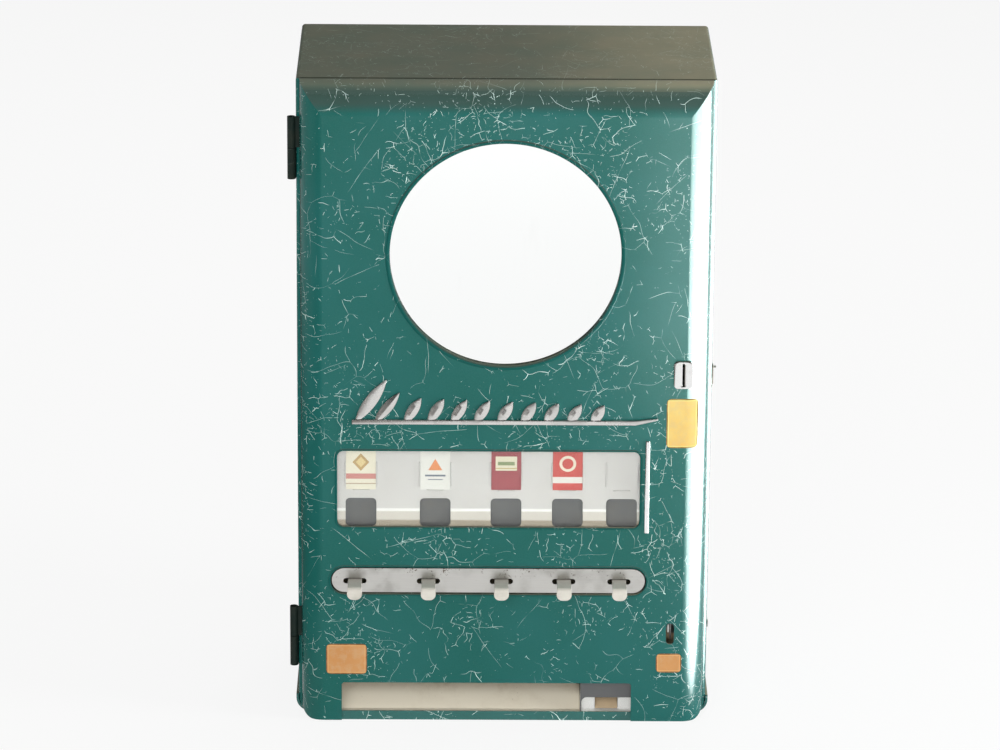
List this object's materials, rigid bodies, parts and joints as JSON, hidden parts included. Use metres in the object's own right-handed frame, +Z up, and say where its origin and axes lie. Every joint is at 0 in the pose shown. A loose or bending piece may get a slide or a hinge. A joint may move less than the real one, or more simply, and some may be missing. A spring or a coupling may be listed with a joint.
{
  "type": "cigarette vending machine",
  "caption": "Counter vending machine with a hinged sheet-metal door, round mirror, label window, pull levers, coin works and an open delivery tray.",
  "frame": {"origin": "centre of the base's footprint, measured over the door and the case", "axes": "+Z up, the door's face looks along -Y, +X to the right seen from the front"},
  "size_m": [0.4587, 0.2795, 0.716],
  "materials": {
    "green_enamel": "gloss",
    "dark_enamel": "satin",
    "cream_enamel": "satin",
    "panel_enamel": "satin",
    "galvanised": "satin",
    "plain_steel": "satin",
    "tan_enamel": "satin",
    "stainless": "satin",
    "polished": "polished",
    "emblem_metal": "polished",
    "mirror_glass": "polished",
    "backing_board": "matte",
    "glass": "clear",
    "rubber": "matte",
    "card": "matte",
    "price_print": "satin",
    "notice_print": "satin",
    "hinge_paint": "satin",
    "lock_brass": "satin",
    "nickel": "satin"
  },
  "bodies": {
    "cabinet": {"cabinet_shell": "green_enamel", "base_pan": "green_enamel", "chassis_sides": "galvanised", "front_apron": "dark_enamel", "slide_rails": "plain_steel", "column_partitions": "galvanised", "column_back": "galvanised", "column_front_strips": "galvanised", "delivery_chute": "cream_enamel", "pack_deflector": "cream_enamel", "coin_cup": "dark_enamel", "coin_return_chute": "tan_enamel", "return_chute_cover": "tan_enamel", "cash_chute": "galvanised", "coin_mechanism": "plain_steel", "cash_box_runners": "plain_steel", "coin_return_bracket": "plain_steel", "lever_plate": "stainless", "hinge_leaves_case": "hinge_paint", "hinge_pins": "hinge_paint", "lock_body": "nickel", "lock_escutcheon": "nickel", "flange_brace": "galvanised", "door_bumpers": "rubber"},
    "door": {"door_panel": "green_enamel", "mirror": "mirror_glass", "mirror_backing": "backing_board", "mirror_clips": "galvanised", "window_glass": "glass", "glass_gasket": "rubber", "label_panel": "panel_enamel", "label_cards": "card", "emblem": "emblem_metal", "trim_strip": "polished", "coin_entry_plate": "polished", "coin_entry_funnel": "galvanised", "price_label": "price_print", "notice_label": "notice_print", "return_label": "notice_print", "hinge_leaves_door": "hinge_paint", "lock_keeper": "galvanised", "panel_screws": "nickel"},
    "lever_1": {"pull_lever_1": "stainless", "pack_slide_1": "plain_steel"},
    "lever_2": {"pull_lever_2": "stainless", "pack_slide_2": "plain_steel"},
    "lever_3": {"pull_lever_3": "stainless", "pack_slide_3": "plain_steel"},
    "lever_4": {"pull_lever_4": "stainless", "pack_slide_4": "plain_steel"},
    "lever_5": {"pull_lever_5": "stainless", "pack_slide_5": "plain_steel"},
    "interlock": {"interlock_bar": "plain_steel", "interlock_pins": "plain_steel"},
    "coin_return": {"coin_return_lever": "stainless"},
    "release_rod": {"return_rod": "plain_steel"},
    "cash_drawer": {"cash_box": "galvanised"},
    "lock_core": {"lock_plug": "lock_brass", "lock_cam": "plain_steel"},
    "cover": {"keyhole_cover": "nickel"}
  },
  "joints": [
    {"name": "door_swing", "type": "hinge", "parent": "cabinet", "child": "door", "pos_m": [-0.2267, -0.099, 0.36], "axis": [0, 0, -1], "range_deg": [0, 110]},
    {"name": "lever_1_pull", "type": "slide", "parent": "cabinet", "child": "lever_1", "axis": [0, -1, 0], "range_m": [0, 0.064], "stiffness_N_per_m": 90, "springref_m": -0.03},
    {"name": "lever_2_pull", "type": "slide", "parent": "cabinet", "child": "lever_2", "axis": [0, -1, 0], "range_m": [0, 0.064], "stiffness_N_per_m": 90, "springref_m": -0.03},
    {"name": "lever_3_pull", "type": "slide", "parent": "cabinet", "child": "lever_3", "axis": [0, -1, 0], "range_m": [0, 0.064], "stiffness_N_per_m": 90, "springref_m": -0.03},
    {"name": "lever_4_pull", "type": "slide", "parent": "cabinet", "child": "lever_4", "axis": [0, -1, 0], "range_m": [0, 0.064], "stiffness_N_per_m": 90, "springref_m": -0.03},
    {"name": "lever_5_pull", "type": "slide", "parent": "cabinet", "child": "lever_5", "axis": [0, -1, 0], "range_m": [0, 0.064], "stiffness_N_per_m": 90, "springref_m": -0.03},
    {"name": "interlock_drop", "type": "slide", "parent": "cabinet", "child": "interlock", "axis": [0, 0, -1], "range_m": [0, 0.0027], "stiffness_N_per_m": 600, "springref_m": -0.003},
    {"name": "coin_return_tilt", "type": "hinge", "parent": "cabinet", "child": "coin_return", "pos_m": [0.1791, -0.1084, 0.104], "axis": [1, 0, 0], "range_deg": [0, 12]},
    {"name": "release_rod_lift", "type": "slide", "parent": "cabinet", "child": "release_rod", "axis": [0, 0, 1], "range_m": [0, 0.0024], "stiffness_N_per_m": 300, "springref_m": -0.002},
    {"name": "cash_box_slide", "type": "slide", "parent": "cabinet", "child": "cash_drawer", "axis": [0, -1, 0], "range_m": [0, 0.04]},
    {"name": "lock_turn", "type": "hinge", "parent": "cabinet", "child": "lock_core", "pos_m": [0.212, -0.0741, 0.38], "axis": [1, 0, 0], "range_deg": [0, 90]},
    {"name": "cover_swing", "type": "hinge", "parent": "cabinet", "child": "cover", "pos_m": [0.224, -0.0741, 0.3905], "axis": [1, 0, 0], "range_deg": [-120, 120]}
  ],
  "couplings": [
    {"joint": "coin_return_tilt", "follows": "release_rod_lift", "rad_per_m": 86.2}
  ]
}
